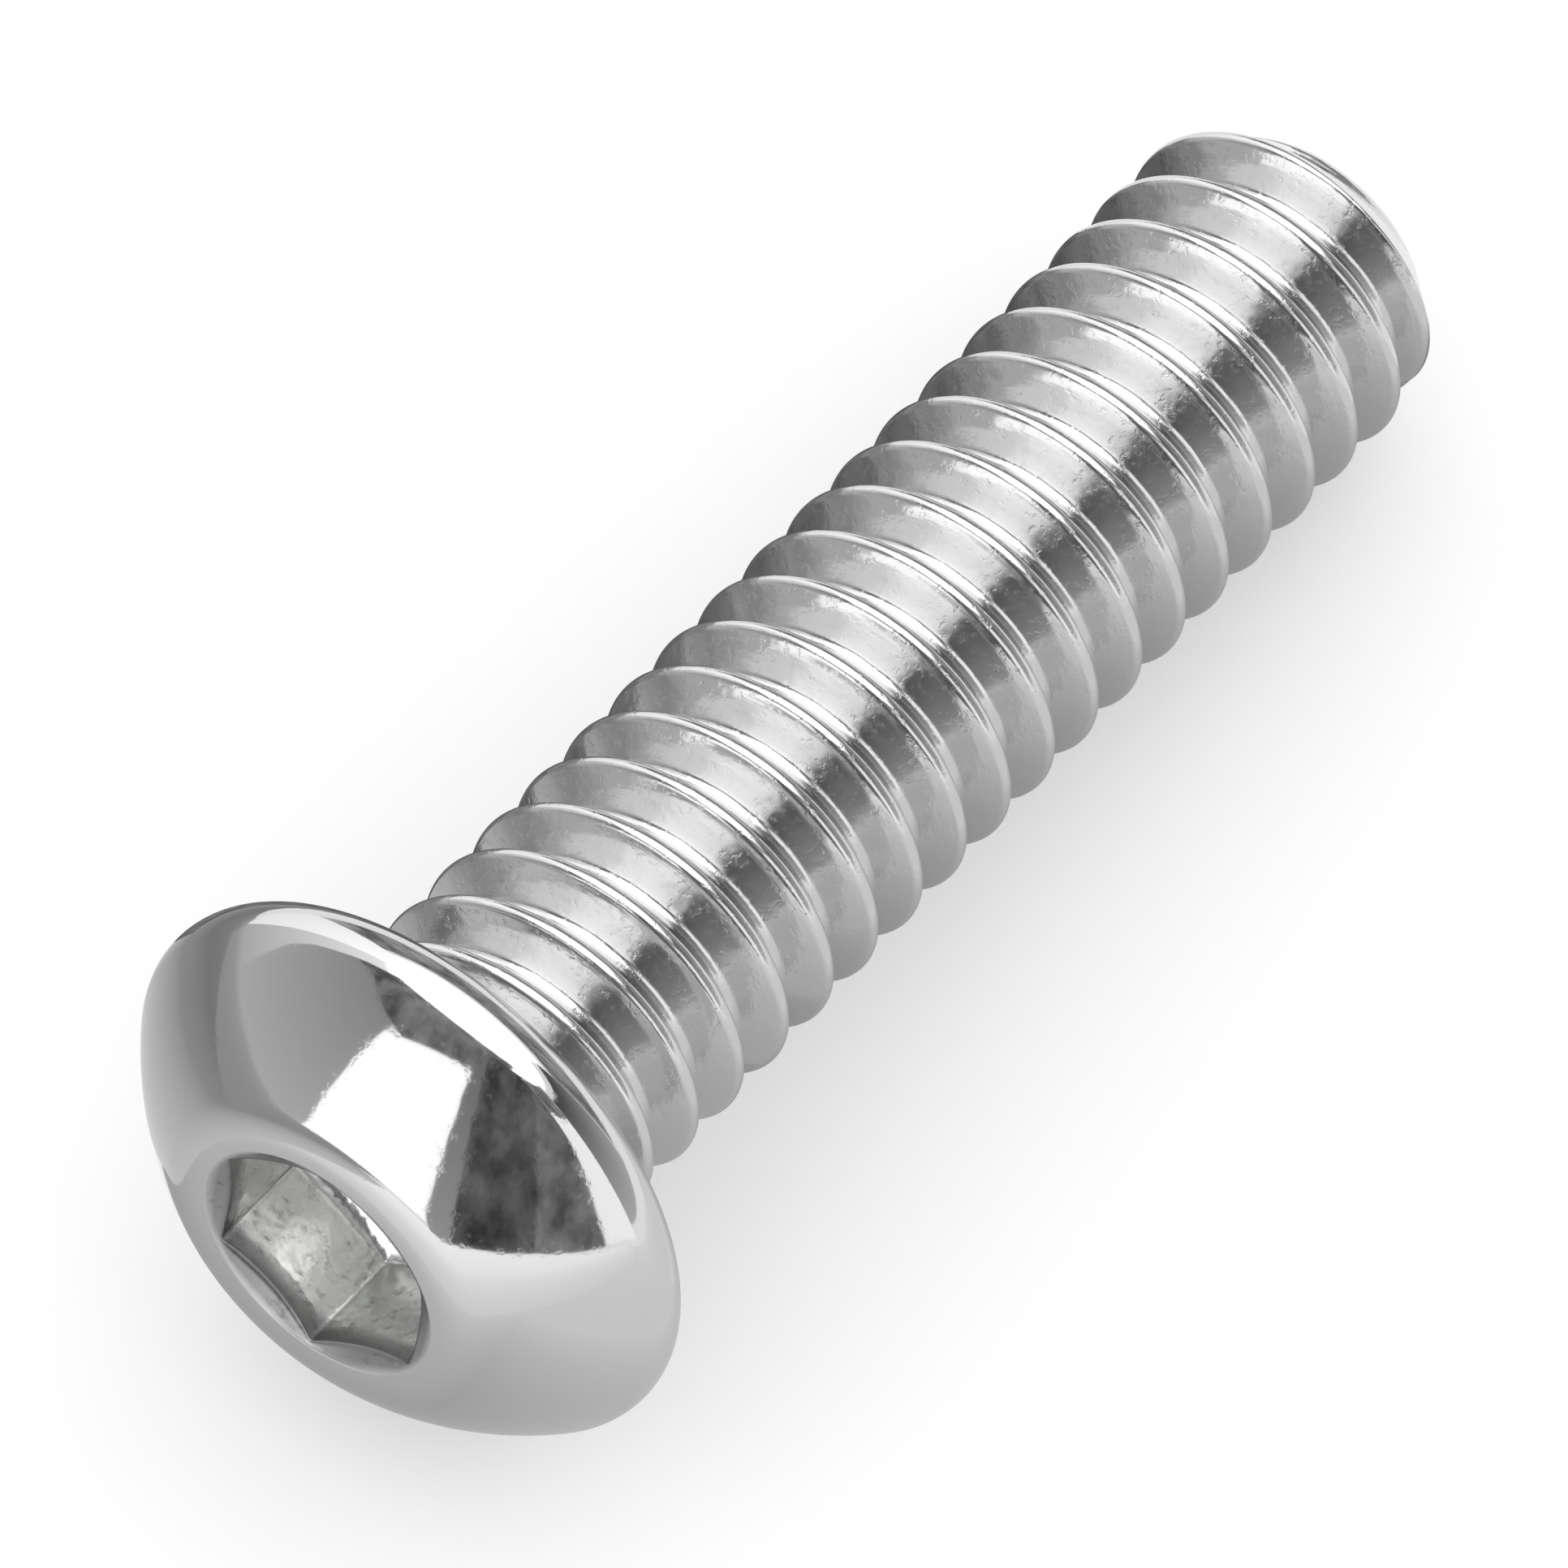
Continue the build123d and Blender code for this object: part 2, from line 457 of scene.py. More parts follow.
    def mouth_line(self, angle: np.ndarray, way: np.ndarray) -> tuple[np.ndarray, np.ndarray]:
        """The socket's side in each direction: up the wall, out over the countersink, rounded.

        Args:
            angle: Direction of each corner from the axis.
            way: How far each one is along the side, 0 at the floor and 1 at the mouth.

        Returns:
            Radius and height of each corner.
        """
        top, bottom = -self.height, -self.height + self.socket_depth
        wall = self.hexagon(angle)
        slant = self.mouth_radius - wall
        lip = top + slant * self.mouth_fall
        edge = np.minimum(self.edge_rounding, slant * self.most_rounding)
        rim = np.minimum(self.rim_rounding, slant * self.most_rounding)
        foot = np.stack([wall, np.full_like(wall, bottom)])
        edge_start = np.stack([wall, lip + edge])
        edge_corner = np.stack([wall, lip])
        edge_end = np.stack([wall + edge, lip - edge * self.mouth_fall])
        rim_start = np.stack([wall + slant - rim, top + rim * self.mouth_fall])
        rim_corner = np.stack([wall + slant, np.full_like(wall, top)])
        rim_end = np.stack([wall + slant + rim, np.full_like(wall, top)])
        climb, turn, out, last = (
            ramp(way, start, end) for start, end in zip(self.side_stops, self.side_stops[1:])
        )
        side = foot + (edge_start - foot) * climb
        side = np.where(turn > 0, bent(edge_start, edge_corner, edge_end, turn), side)
        side = np.where(out > 0, edge_end + (rim_start - edge_end) * out, side)
        side = np.where(last > 0, bent(rim_start, rim_corner, rim_end, last), side)
        return side[0], side[1]

    def crowd(self, angle: np.ndarray, share: np.ndarray) -> np.ndarray:
        """Draws the mesh's directions together at the hexagon's corners.

        Args:
            angle: Direction of each corner of the mesh, in radians.
            share: How much of the crowding each one gets, from 0 to 1.

        Returns:
            The new directions.
        """
        side = (angle % FLAT_TURN - FLAT_TURN / 2) / (FLAT_TURN / 2)
        packed = side * (1 + self.crowding) - side**3 * self.crowding
        return angle + (packed - side) * FLAT_TURN / 2 * share

    def press(self, mesh: bpy.types.Mesh) -> None:
        """Presses the round hole into a hexagon with a countersunk mouth.

        Args:
            mesh: The spun head, its hole as wide as the hexagon's corners.
        """
        points = read_points(mesh)
        angle = np.arctan2(points[:, 1], points[:, 0])
        radius = np.hypot(points[:, 0], points[:, 1])
        height = points[:, 2]
        top, bottom = -self.height, -self.height + self.socket_depth
        hole = (radius < self.corner_radius + WELD) & (height > top - WELD)
        near = ramp(radius, self.crowding_reach, self.mouth_radius)
        share = np.where(hole, 1.0, np.where(height < top + self.crown_edge, near, 0.0))
        angle = self.crowd(angle, share)
        wall = self.hexagon(angle)
        slope = 1 / math.tan(math.radians(self.floor_angle / 2))
        floor = hole & (height > bottom + WELD)
        floor_radius = wall * radius / self.corner_radius
        floor_height = bottom + (self.corner_radius - floor_radius) * slope
        side = hole & ~floor
        way = np.clip((bottom - height) / self.socket_depth, 0.0, 1.0)
        side_radius, side_height = self.mouth_line(angle, way)
        foot_height = bottom + (self.corner_radius - wall) * slope
        side_height = np.where(way * self.socket_depth < SLIVER, foot_height, side_height)
        radius = np.where(floor, floor_radius, np.where(side, side_radius, radius))
        height = np.where(floor, floor_height, np.where(side, side_height, height))
        write_points(mesh, np.stack([radius * np.cos(angle), radius * np.sin(angle), height], 1))


@dataclass
class Rest:
    """How the screw lies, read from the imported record: its tip's middle and its axis."""

    tip: Vector
    axis: Vector

    @classmethod
    def from_record(cls, record: dict) -> "Rest":
        """Reads the tip face's place and direction.

        Args:
            record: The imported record.

        Returns:
            The pose of the screw at rest.
        """
        face = next(m for m in record["mounts"] if m["name"] == "tip_face")
        return cls(Vector(face["pos_m"]), Vector(face["axis"]).normalized())

    def placement(self, length: float) -> Matrix:
        """Takes the screw from its own millimetres to where it lies, in metres.

        Args:
            length: From the bearing face to the tip, in millimetres.

        Returns:
            The matrix that lays it down.
        """
        slope = math.atan2(-self.axis.z, self.axis.x)
        seat = self.tip - self.axis * length * MILLIMETRE
        turn = Matrix.Rotation(math.radians(90.0) + slope, 4, "Y")
        return Matrix.Translation(seat) @ turn @ Matrix.Scale(MILLIMETRE, 4)


@dataclass
class Screw:
    """The whole screw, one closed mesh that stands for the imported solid.

    Each run says where a mark on the mesh starts and where it is full, in millimetres: up the
    shank from the bearing face, or down the socket from its mouth.
    """

    rest: Rest
    thread: Thread = field(default_factory=Thread)
    head: ButtonHead = field(default_factory=ButtonHead)
    shank_run: Pair = (0.10, 0.40)
    mouth_run: Pair = (0.0, 0.05)
    socket_run: Pair = (0.35, 0.55)
    normal_weight: int = 60

    def build(self) -> bpy.types.Object:
        """Makes shank and head, welds them at the neck and lays the screw down.

        Returns:
            The finished screw.
        """
        shank = self.thread.roll()
        head = self.head.turn()
        pick(head, shank)
        bpy.ops.object.join()
        screw = bpy.context.object
        screw.name = screw.data.name = "chromed_screw"
        weld(screw)
        self.mark_runs(screw.data)
        bpy.ops.object.shade_smooth()
        steady = screw.modifiers.new("steady_normals", "WEIGHTED_NORMAL")
        steady.keep_sharp = True
        steady.weight = self.normal_weight
        screw.data.transform(self.rest.placement(self.thread.length))
        points = read_points(screw.data)
        points[:, 2] = np.clip(points[:, 2], 0.0, None)
        write_points(screw.data, points)
        apply_modifier(screw, steady)
        return screw

    def mark_runs(self, mesh: bpy.types.Mesh) -> None:
        """Maps the skin along and across the thread, and marks the shank and the socket.

        Args:
            mesh: The welded screw, still along its own axis.
        """
        points = read_points(mesh)
        radius = np.hypot(points[:, 0], points[:, 1])
        on_shank = ramp(points[:, 2], *self.shank_run)
        # The socket mark also carries painted light: the socket is coloured lighter than the plating.
        inner = (radius < self.head.mouth_radius) & (points[:, 2] < 0)
        depth = (points[:, 2] + self.head.height) * inner
        deep = ramp(depth, *self.socket_run)
        # The countersink mark also carries painted shade: the socket's mouth is coloured darker than the
        # plating.
        mouth = ramp(depth, *self.mouth_run) * (1 - deep)
        for name, values in (("shank", on_shank), ("socket", deep), ("countersink", mouth)):
            layer = mesh.attributes.new(name, "FLOAT", "POINT")
            layer.data.foreach_set("value", values.astype(np.float32))
        corner = np.empty(len(mesh.loops), dtype=np.int32)
        mesh.loops.foreach_get("vertex_index", corner)
        start = np.empty(len(mesh.polygons), dtype=np.int32)
        mesh.polygons.foreach_get("loop_start", start)
        angle = np.arctan2(points[:, 1], points[:, 0])[corner]
        face = np.repeat(np.arange(len(start)), np.diff(np.append(start, len(corner))))
        middle = angle[start][face]
        angle = middle + (angle - middle + math.pi) % math.tau - math.pi
        along = angle * self.thread.crest_radius
        across = points[corner, 2] - self.thread.pitch * angle / math.tau
        layer = mesh.uv_layers.new(name="thread_run")
        layer.data.foreach_set("uv", np.stack([along, across], 1).astype(np.float32).ravel())


# --- Finishes --------------------------------------------------------------------------


def socket_in(group: bpy.types.NodeTree, name: str, value: float | None) -> None:
    """Adds an input to a node group.

    Args:
        group: The node group.
        name: The input's name.
        value: Its number at first, or None for a vector.
    """
    kind = "NodeSocketVector" if value is None else "NodeSocketFloat"
    made = group.interface.new_socket(name, in_out="INPUT", socket_type=kind)
    if value is not None:
        made.default_value = value


def noise_node(tree: bpy.types.NodeTree, detail: float, roughness: float) -> bpy.types.Node:
    """Adds a noise texture.

    Args:
        tree: The node tree to add it to.
        detail: How many octaves of finer noise it has.
        roughness: How strong each octave is beside the one before.

    Returns:
        The texture's node.
    """
    node = tree.nodes.new("ShaderNodeTexNoise")
    node.inputs["Detail"].default_value = detail
    node.inputs["Roughness"].default_value = roughness
    return node


def attribute_value(tree: bpy.types.NodeTree, name: str) -> Socket:
    """Adds a node that reads a number from the mesh's own layer of this name.

    Args:
        tree: The node tree to add it to.
        name: The layer's name.

    Returns:
        The number's output.
    """
    node = tree.nodes.new("ShaderNodeAttribute")
    node.attribute_name = name
    return node.outputs["Fac"]


def group_node(
    tree: bpy.types.NodeTree, group: bpy.types.NodeTree, run: Socket, settings: dict[str, float]
) -> bpy.types.Node:
    """Adds a node group, whose first input is the place that it is asked about.

    Args:
        tree: The node tree to add it to.
        group: The group.
        run: The output that gives the place.
        settings: Numbers for the other inputs, by name.

    Returns:
        The group's node.
    """
    node = tree.nodes.new("ShaderNodeGroup")
    node.node_tree = group
    tree.links.new(run, node.inputs[0])
    for name, value in settings.items():
        node.inputs[name].default_value = value
    return node


def bare_material(name: str) -> tuple[bpy.types.Material, Socket]:
    """Makes a material that holds nothing but its output.

    Args:
        name: The material's name.

    Returns:
        The material, and its surface's input.
    """
    material = bpy.data.materials.new(name)
    material.use_nodes = True
    material.node_tree.nodes.clear()
    out = material.node_tree.nodes.new("ShaderNodeOutputMaterial")
    return material, out.inputs["Surface"]


def math_node(tree: bpy.types.NodeTree, operation: str, *values: float | Socket) -> Socket:
    """Adds a math node and feeds it numbers or sockets.

    Args:
        tree: The node tree to add it to.
        operation: Blender's name for what it does.
        values: A number or a socket for each of its inputs.

    Returns:
        Its output.
    """
    node = tree.nodes.new("ShaderNodeMath")
    node.operation = operation
    for slot, value in zip(node.inputs, values):
        if isinstance(value, Socket):
            tree.links.new(value, slot)
        else:
            slot.default_value = value
    return node.outputs[0]


def mixed_colour(
    tree: bpy.types.NodeTree, share: Socket, first: Colour | Socket, second: Colour | Socket
) -> Socket:
    """Mixes two colours by a mask.

    Args:
        tree: The node tree to add the mix to.
        share: The mask, 0 for the first colour and 1 for the second.
        first: A colour, or a socket that gives one.
        second: The same.

    Returns:
        The mixed colour's output.
    """
    node = tree.nodes.new("ShaderNodeMix")
    node.data_type = "RGBA"
    tree.links.new(share, node.inputs["Factor"])
    slots = [slot for slot in node.inputs if slot.type == "RGBA"]
    for slot, colour in zip(slots, (first, second)):
        if isinstance(colour, Socket):
            tree.links.new(colour, slot)
        else:
            slot.default_value = colour
    return next(slot for slot in node.outputs if slot.type == "RGBA")


@dataclass(frozen=True)
class PlatingGrain:
    """Node group: the faint orange peel and pits of plating, as a height and a mask.

    Each detail is a noise's octaves and their roughness. Noise over the pit level is a pit.
    """

    name: str = "plating_grain"
    peel_detail: Pair = (2.0, 0.5)
    pit_detail: Pair = (3.0, 0.6)
    pit_level: float = 0.55
    mask_gain: float = 4.0

    def group(self) -> bpy.types.NodeTree:
        """Builds the group once, and finds it again after that.

        Returns:
            The node group.
        """
        if self.name in bpy.data.node_groups:
            return bpy.data.node_groups[self.name]
        group = bpy.data.node_groups.new(self.name, "ShaderNodeTree")
        socket_in(group, "Vector", None)
        for name, value in (("Peel Scale", 2500.0), ("Pit Scale", 9000.0), ("Pit Depth", 0.5)):
            socket_in(group, name, value)
        for name in ("Height", "Mask"):
            group.interface.new_socket(name, in_out="OUTPUT", socket_type="NodeSocketFloat")
        entry = group.nodes.new("NodeGroupInput")
        leave = group.nodes.new("NodeGroupOutput")
        peel = noise_node(group, *self.peel_detail)
        pits = noise_node(group, *self.pit_detail)
        for node, scale in ((peel, "Peel Scale"), (pits, "Pit Scale")):
            group.links.new(entry.outputs["Vector"], node.inputs["Vector"])
            group.links.new(entry.outputs[scale], node.inputs["Scale"])
        deep = math_node(group, "SUBTRACT", pits.outputs["Fac"], self.pit_level)
        deep = math_node(group, "MAXIMUM", deep, 0.0)
        dent = math_node(group, "MULTIPLY", deep, entry.outputs["Pit Depth"])
        height = math_node(group, "SUBTRACT", peel.outputs["Fac"], dent)
        group.links.new(height, leave.inputs["Height"])
        mask = math_node(group, "MULTIPLY", deep, self.mask_gain)
        group.links.new(mask, leave.inputs["Mask"])
        return group


@dataclass(frozen=True)
class RollingLines:
    """Node group: the fine lines that thread rolling leaves along the helix."""

    name: str = "rolling_lines"
    detail: Pair = (2.0, 0.55)

    def group(self) -> bpy.types.NodeTree:
        """Builds the group once, and finds it again after that.

        Returns:
            The node group.
        """
        if self.name in bpy.data.node_groups:
            return bpy.data.node_groups[self.name]
        group = bpy.data.node_groups.new(self.name, "ShaderNodeTree")
        socket_in(group, "Run", None)
        socket_in(group, "Across", 14.0)
        socket_in(group, "Along", 0.35)
        group.interface.new_socket("Height", in_out="OUTPUT", socket_type="NodeSocketFloat")
        entry = group.nodes.new("NodeGroupInput")
        leave = group.nodes.new("NodeGroupOutput")
        parts = group.nodes.new("ShaderNodeSeparateXYZ")
        group.links.new(entry.outputs["Run"], parts.inputs[0])
        joined = group.nodes.new("ShaderNodeCombineXYZ")
        along = math_node(group, "MULTIPLY", parts.outputs["X"], entry.outputs["Along"])
        across = math_node(group, "MULTIPLY", parts.outputs["Y"], entry.outputs["Across"])
        group.links.new(along, joined.inputs["X"])
        group.links.new(across, joined.inputs["Y"])
        lines = noise_node(group, *self.detail)
        lines.inputs["Scale"].default_value = 1.0
        group.links.new(joined.outputs[0], lines.inputs["Vector"])
        group.links.new(lines.outputs["Fac"], leave.inputs["Height"])
        return group


@dataclass(frozen=True)
class Chrome:
    """Bright chrome plating over rolled and forged steel.

    Its heights are in metres, and its scales are how many features go into a metre. The socket is coloured
    lighter than the plating, which is painted light, and the countersink at its mouth darker, which is
    painted shade; the forging stain mottles both.
    """

    name: str = "chrome"
    colour: Colour = (0.63, 0.63, 0.635, 1.0)
    # Painted light: the socket's walls and floor are coloured lighter than the plating, to lighten them.
    socket_painted_light: Colour = (0.88, 0.885, 0.875, 1.0)
    socket_stain: Colour = (0.30, 0.31, 0.30, 1.0)
    # Painted shade: the countersink and the top of the socket's walls are coloured darker than the plating.
    countersink_painted_shade: Colour = (0.32, 0.325, 0.32, 1.0)
    countersink_stain: Colour = (0.12, 0.125, 0.12, 1.0)
    roughness: float = 0.06
    roughness_spread: float = 0.10
    shank_roughness: float = 0.09
    socket_roughness: float = 0.16
    countersink_roughness: float = 0.26
    peel_height: float = 0.0000020
    shank_peel_height: float = 0.0000140
    line_height: float = 0.0000032
    forging_height: float = 0.0000400
    peel_scale: float = 1500.0
    pit_scale: float = 7000.0
    pit_depth: float = 1.0
    forging_peel_scale: float = 2200.0
    forging_pit_scale: float = 3600.0

    def material(self) -> bpy.types.Material:
        """Builds the plating's material.

        Returns:
            The material, for a mesh that has its shank, socket and countersink marked.
        """
        material = bpy.data.materials.new(self.name)
        material.use_nodes = True
        tree = material.node_tree
        shader = tree.nodes["Principled BSDF"]
        shader.inputs["Metallic"].default_value = 1.0
        place = tree.nodes.new("ShaderNodeTexCoord").outputs["Object"]
        fine = {
            "Peel Scale": self.peel_scale,
            "Pit Scale": self.pit_scale,
            "Pit Depth": self.pit_depth,
        }
        coarse = {"Peel Scale": self.forging_peel_scale, "Pit Scale": self.forging_pit_scale}
        grain = group_node(tree, PlatingGrain().group(), place, fine)
        forging = group_node(tree, PlatingGrain().group(), place, coarse)
        run = tree.nodes.new("ShaderNodeUVMap")
        run.uv_map = "thread_run"
        lines = group_node(tree, RollingLines().group(), run.outputs[0], {})
        shank = attribute_value(tree, "shank")
        socket = attribute_value(tree, "socket")
        mouth = attribute_value(tree, "countersink")
        stain = forging.outputs["Mask"]
        # Painted light in the socket, mottled by the forging stain.
        painted_light_and_forging = mixed_colour(tree, stain, self.socket_painted_light, self.socket_stain)
        tint = mixed_colour(tree, socket, self.colour, painted_light_and_forging)
        # Painted shade at the socket's mouth, mottled by the forging stain.
        painted_shade_and_stain = mixed_colour(tree, stain, self.countersink_painted_shade, self.countersink_stain)
        tint = mixed_colour(tree, mouth, tint, painted_shade_and_stain)
        tree.links.new(tint, shader.inputs["Base Color"])
        peel = math_node(tree, "MULTIPLY_ADD", shank, self.shank_peel_height, self.peel_height)
        height = math_node(tree, "MULTIPLY", grain.outputs["Height"], peel)
        marks = math_node(tree, "MULTIPLY", lines.outputs["Height"], self.line_height)
        marks = math_node(tree, "MULTIPLY", marks, shank)
        dents = math_node(tree, "MULTIPLY", forging.outputs["Height"], self.forging_height)
        dents = math_node(tree, "MULTIPLY", dents, socket)
        marks = math_node(tree, "ADD", marks, dents)
        bump = tree.nodes.new("ShaderNodeBump")
        bump.inputs["Strength"].default_value = 1.0
        bump.inputs["Distance"].default_value = 1.0
        tree.links.new(math_node(tree, "ADD", height, marks), bump.inputs["Height"])
        tree.links.new(bump.outputs[0], shader.inputs["Normal"])
        dull = math_node(tree, "MULTIPLY", grain.outputs["Mask"], self.roughness_spread)
        for mask, amount in (
            (shank, self.shank_roughness),
            (socket, self.socket_roughness),
            (mouth, self.countersink_roughness),
        ):
            dull = math_node(tree, "MULTIPLY_ADD", mask, amount, dull)
        dull = math_node(tree, "ADD", dull, self.roughness)
        tree.links.new(dull, shader.inputs["Roughness"])
        return material


# --- The studio ------------------------------------------------------------------------


@dataclass
class Card:
    """A card of the stage, as the head sees it: a patch of the room between four directions.

    The directions are (azimuth, elevation) in degrees around the focus, from the low left
    corner to the low right, high right and high left ones. The glow is (low, high).
    """

    name: str
    corners: tuple[Point, Point, Point, Point]
    glow: Pair
    distance: float = 0.30
    coat: Coat = Coat.PLAIN
    bow: float = 0.0
    focus: tuple[float, float, float] = (-0.0125, 0.0, 0.0055)
    grid: tuple[int, int] = (48, 12)
    blotch_scale: float = 9.0
    blotch_detail: Pair = (6.0, 0.65)
    blotch_stretch: tuple[float, float, float] = (1.0, 1.0, 0.45)
    blotch_contrast: float = 3.4
    blotch_shift: float = -0.85
    blotch_least: float = 0.35

    def between(self, u: np.ndarray, v: np.ndarray) -> np.ndarray:
        """Divides the card evenly between its four corners.

        Args:
            u: How far each place lies from the left edge to the right one.
            v: How far it lies from the low edge to the high one.

        Returns:
            The places in the corners' own terms, one row each.
        """
        low_left, low_right, high_right, high_left = (np.array(c) for c in self.corners)
        u, v = u[:, None], v[:, None]
        low = low_left * (1 - u) + low_right * u
        high = high_left * (1 - u) + high_right * u
        return low * (1 - v) + high * v

    def spread(self, u: np.ndarray, v: np.ndarray) -> np.ndarray:
        """Places the card's grid around the focus.

        Args:
            u: How far each of its corners lies from the left edge to the right one.
            v: How far it lies from the low edge to the high one.

        Returns:
            The places, one row each, in metres.
        """
        spot = self.between(u, v)
        turn = np.radians(spot[:, 0])
        rise = np.radians(spot[:, 1] + self.bow * 4 * u * (1 - u) * v)
        way = np.stack([np.cos(rise) * np.cos(turn), np.cos(rise) * np.sin(turn), np.sin(rise)], 1)
        return way * self.distance + np.array(self.focus)

    def build(self) -> bpy.types.Object:
        """Bends a grid into the patch and lights it, for the screw's reflections alone.

        Returns:
            The card.
        """
        deselect_all()
        across, up = self.grid
        bpy.ops.mesh.primitive_grid_add(x_subdivisions=across, y_subdivisions=up, size=2.0)
        card = bpy.context.object
        card.name = card.data.name = self.name
        points = read_points(card.data)
        u, v = (points[:, 0] + 1) / 2, (points[:, 1] + 1) / 2
        write_points(card.data, self.spread(u, v))
        level = card.data.attributes.new("glow", "FLOAT", "POINT")
        shade = self.glow[0] * (1 - v) + self.glow[1] * v
        level.data.foreach_set("value", shade.astype(np.float32))
        card.data.materials.append(self.paint())
        card.visible_camera = card.visible_diffuse = card.visible_shadow = False
        return card

    def paint(self) -> bpy.types.Material:
        """Makes the card's light, which looks up the glow that its mesh carries.

        Returns:
            The material, which gives the card light to reflect but lights nothing itself.
        """
        material, surface = bare_material(self.name)
        tree = material.node_tree
        strength = attribute_value(tree, "glow")
        if self.coat is Coat.BLOTCHED:
            strength = math_node(tree, "MULTIPLY", strength, self.blotches(tree))
        material.cycles.emission_sampling = "NONE"
        glow = tree.nodes.new("ShaderNodeEmission")
        tree.links.new(strength, glow.inputs["Strength"])
        tree.links.new(glow.outputs[0], surface)
        return material

    def blotches(self, tree: bpy.types.NodeTree) -> Socket:
        """Adds the cloudy pattern of a blotched card, drawn out upwards.

        Args:
            tree: The node tree of the card's material.

        Returns:
            How much of the card's glow is left at each place.
        """
        place = tree.nodes.new("ShaderNodeTexCoord")
        upright = tree.nodes.new("ShaderNodeMapping")
        upright.inputs["Scale"].default_value = self.blotch_stretch
        tree.links.new(place.outputs["Object"], upright.inputs["Vector"])
        clouds = noise_node(tree, *self.blotch_detail)
        clouds.inputs["Scale"].default_value = self.blotch_scale / self.distance
        tree.links.new(upright.outputs[0], clouds.inputs["Vector"])
        spread = math_node(
            tree, "MULTIPLY_ADD", clouds.outputs["Fac"], self.blotch_contrast, self.blotch_shift
        )
        return math_node(tree, "MAXIMUM", spread, self.blotch_least)


@dataclass
class FloorCard(Card):
    """A card that lies just over the floor. Its corners are (x, y) places in millimetres.

    Its distance only sets the size of its blotches.
    """

    distance: float = 0.03
    lift: float = 0.0004

    def spread(self, u: np.ndarray, v: np.ndarray) -> np.ndarray:
        """Places the card's grid over the floor.

        Args:
            u: How far each of its corners lies from the left edge to the right one.
            v: How far it lies from the low edge to the high one.

        Returns:
            The places, one row each, in metres.
        """
        spot = self.between(u, v) * MILLIMETRE
        return np.stack([spot[:, 0], spot[:, 1], np.full(len(spot), self.lift)], 1)


@dataclass
class Floor:
    """The pale floor, which keeps the screw's shadow."""

    size: float = 6.0
    colour: Colour = (0.85, 0.85, 0.85, 1.0)
    lift: float = 0.25

    def build(self) -> bpy.types.Object:
        """Lays the floor and paints it.

        Returns:
            The floor.
        """
        deselect_all()
        bpy.ops.mesh.primitive_plane_add(size=self.size)
        floor = bpy.context.object
        floor.name = floor.data.name = "floor"
        floor.data.materials.append(self.paint())
        return floor

    def paint(self) -> bpy.types.Material:
        """Makes the floor's matt paint, which is lifted a little where it is looked at.

        Returns:
            The material.
        """
        material, surface = bare_material("floor")
        tree = material.node_tree
        paint = tree.nodes.new("ShaderNodeBsdfDiffuse")
        paint.inputs["Color"].default_value = self.colour
        path = tree.nodes.new("ShaderNodeLightPath").outputs
        seen = math_node(tree, "ADD", path["Is Camera Ray"], path["Is Glossy Ray"])
        seen = math_node(tree, "ADD", seen, path["Is Transmission Ray"])
        seen = math_node(tree, "MINIMUM", seen, 1.0)
        glow = tree.nodes.new("ShaderNodeEmission")
        tree.links.new(math_node(tree, "MULTIPLY", seen, self.lift), glow.inputs["Strength"])
        both = tree.nodes.new("ShaderNodeAddShader")
        tree.links.new(paint.outputs[0], both.inputs[0])
        tree.links.new(glow.outputs[0], both.inputs[1])
        tree.links.new(both.outputs[0], surface)
        return material


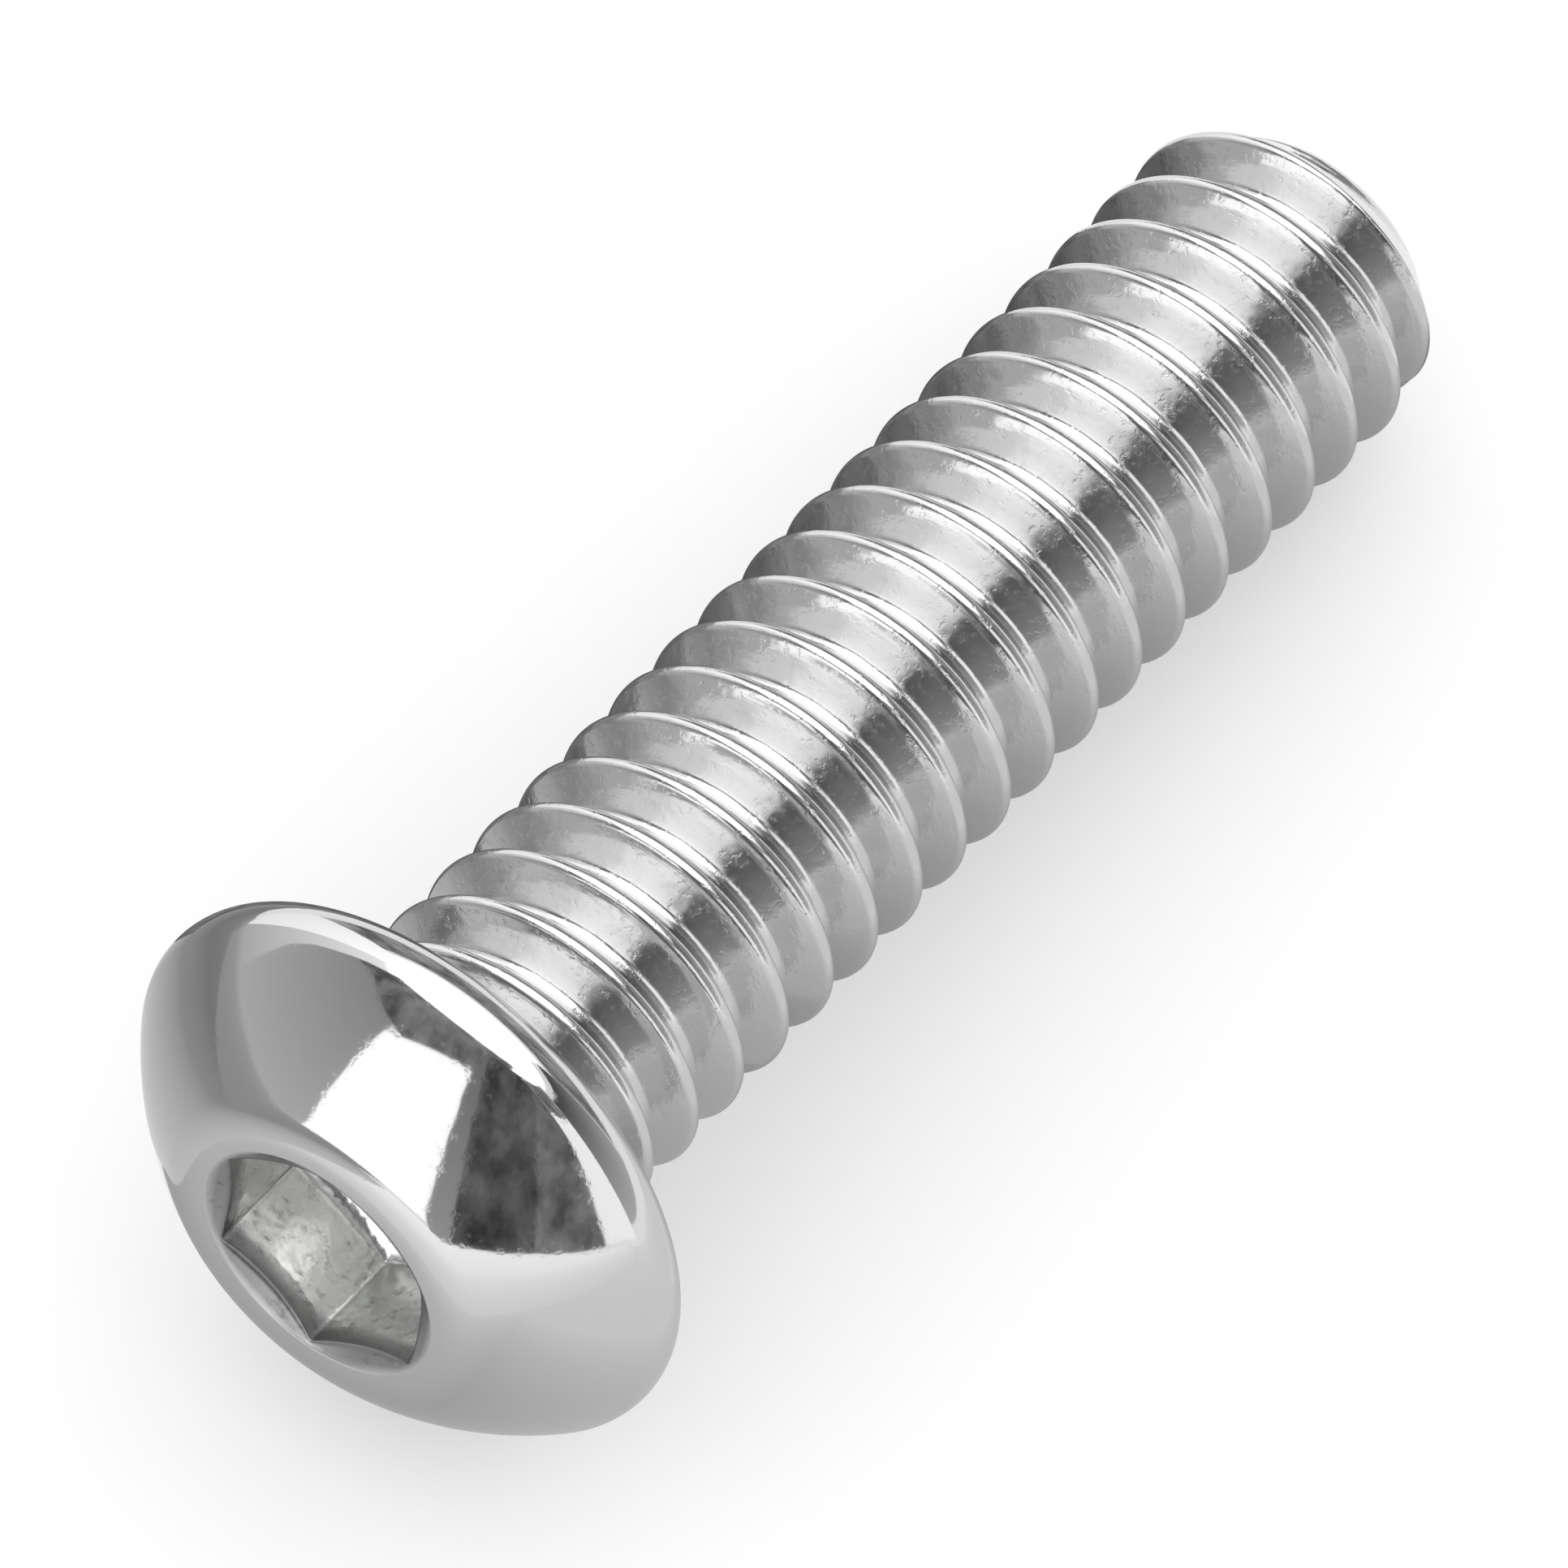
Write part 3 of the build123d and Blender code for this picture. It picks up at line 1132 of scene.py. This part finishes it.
@dataclass
class Studio:
    """Floor, room and the cards that the chrome reflects."""

    room_glow: float = 1.0
    room_colour: Colour = (1.0, 1.0, 1.0, 1.0)
    cards: Sequence[Card] = (
        Card("key_box", ((151.5, -1), (191.5, -1), (192.8, 49), (151, 42)), (1.6, 1.6), 0.28, bow=3.5),
        Card("shade_strip", ((191.5, -4), (199, -4), (199, 58), (192.8, 50)), (0.42, 0.22), 0.09),
        Card("near_dark", ((199, -4), (221, -4), (223, 58), (199, 58)), (0.13, 0.16), 0.09, Coat.BLOTCHED),
        Card("far_dark", ((221, -4), (239.5, -4), (231, 58), (223, 58)), (0.26, 0.20), 0.09, Coat.BLOTCHED),
        Card("right_white", ((239.5, -3), (262, -3), (262, 44), (232, 44)), (1.3, 1.3), 0.10),
        Card("right_dark", ((231, 44), (262, 44), (262, 58), (230, 58)), (0.35, 0.30), 0.10, Coat.BLOTCHED),
        Card("side_dark", ((262, 1), (320, 1), (322, 50), (262, 52)), (0.58, 0.07), 0.32),
        Card("high_dark", ((112, 44), (193, 46), (228, 63), (118, 60)), (0.24, 0.28), 0.31, Coat.BLOTCHED),
        Card("side_grey", ((108, -1), (151.5, -1), (151, 50), (112, 50)), (0.60, 0.33), 0.32),
        Card("left_pale", ((86, -1), (108, -1), (112, 57), (86, 57)), (0.60, 1.20), 0.33),
        Card("back_pale", ((50, -1), (86, -1), (86, 57), (50, 57)), (1.20, 1.60), 0.33),
        Card("back_high", ((318, 44), (410, 44), (410, 60), (318, 60)), (1.5, 2.1), 0.34),
        Card("tip_dark", ((322, 4), (410, 4), (410, 40), (322, 40)), (0.45, 0.30), 0.33, Coat.BLOTCHED),
        Card("ceiling", ((0, 56), (360, 56), (360, 89), (0, 89)), (2.0, 2.5), 0.50),
        # Painted shade: a dark card over the floor on the shank's far side.
        FloorCard(
            "left_floor", ((-8, 4.5), (14, 4.5), (14, 17), (-8, 17)), (0.15, 0.27), coat=Coat.BLOTCHED
        ),
        FloorCard("head_floor", ((-90, 6), (-8, 6), (-8, 17), (-90, 17)), (0.74, 0.40)),
        FloorCard("mid_floor", ((-30, 17), (14, 17), (14, 32), (-28.5, 32)), (0.38, 0.27)),
        FloorCard("left_far", ((-28.5, 32), (14, 32), (60, 330), (0, 330)), (0.27, 0.62)),
        FloorCard("far_floor", ((-330, 17), (-30, 17), (0, 330), (-330, 330)), (0.38, 0.62)),
        # Painted shadow: the cards round the screw's foot glow less towards it, for the screw's shadow on
        # the floor as the chrome reflects it.
        FloorCard("right_floor_painted_shadow", ((-6, -1.7), (16, -1.7), (16, -9), (-6, -10.4)), (0.35, 0.95)),
        FloorCard("front_floor", ((-24, 6), (-24, -60), (-44, -60), (-44, 6)), (0.92, 1.22)),
        FloorCard("front_far", ((-44, 6), (-44, -60), (-110, -60), (-110, 6)), (1.22, 1.40)),
        FloorCard("front_foot_painted_shadow", ((-13, -0.5), (-13, 6), (-24, 6), (-24, -11.5)), (0.42, 0.86)),
        FloorCard("side_floor", ((-24, -60), (16, -60), (16, -9), (-24, -11.5)), (1.02, 0.86)),
        FloorCard("side_foot_painted_shadow", ((-24, -11.5), (-6, -10.4), (-6, -0.5), (-13, -0.5)), (0.86, 0.42)),
    )

    def build(self) -> None:
        """Sets up the floor, the cards and the room's own light."""
        Floor().build()
        for card in self.cards:
            card.build()
        world = bpy.context.scene.world or bpy.data.worlds.new("room")
        bpy.context.scene.world = world
        world.use_nodes = True
        tree = world.node_tree
        tree.nodes.clear()
        sky = tree.nodes.new("ShaderNodeBackground")
        sky.inputs["Color"].default_value = self.room_colour
        sky.inputs["Strength"].default_value = self.room_glow
        out = tree.nodes.new("ShaderNodeOutputWorld")
        tree.links.new(sky.outputs[0], out.inputs["Surface"])


@dataclass
class Viewpoint:
    """The camera: above the head's side of the screw, looking down at 58 degrees.

    Its zoom is the focal length, counted in pixels of the picture.
    """

    place: tuple[float, float, float] = (-0.157081, -0.106998, 0.301919)
    sight: tuple[float, float, float] = (0.442252, 0.303633, -0.843931)
    level: tuple[float, float, float] = (0.601638, -0.798276, 0.028074)
    picture_width: float = 1932.0
    zoom: float = 25500.0
    sensor: float = 36.0
    clip: Pair = (0.01, 20.0)

    def build(self) -> bpy.types.Object:
        """Sets up the camera.

        Returns:
            The camera, which the scene then looks through.
        """
        data = bpy.data.cameras.new("camera")
        data.sensor_width = data.sensor_height = self.sensor
        data.sensor_fit = "HORIZONTAL"
        data.lens = self.zoom / self.picture_width * self.sensor
        data.clip_start, data.clip_end = self.clip
        camera = bpy.data.objects.new("camera", data)
        bpy.context.scene.collection.objects.link(camera)
        sight, level = Vector(self.sight).normalized(), Vector(self.level).normalized()
        axes = Matrix((level, level.cross(sight), -sight)).transposed()
        camera.matrix_world = Matrix.Translation(Vector(self.place)) @ axes.to_4x4()
        bpy.context.scene.camera = camera
        return camera


def main() -> None:
    """Builds the screw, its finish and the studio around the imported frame."""
    logging.basicConfig(level=logging.INFO, format="%(message)s")
    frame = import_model()
    rest = Rest.from_record(frame["record"])
    screw = Screw(rest).build()
    screw.data.materials.clear()
    screw.data.materials.append(Chrome().material())
    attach(screw, "root")
    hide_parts("button_head_screw")
    triangles = sum(len(face.vertices) - 2 for face in screw.data.polygons)
    log.info("screw: %d triangles", triangles)
    Studio().build()
    log.info("studio: floor, cards and room")
    Viewpoint().build()
    bpy.context.scene.view_settings.view_transform = "Standard"
    log.info("sizes written")


if __name__ == "__main__":
    main()
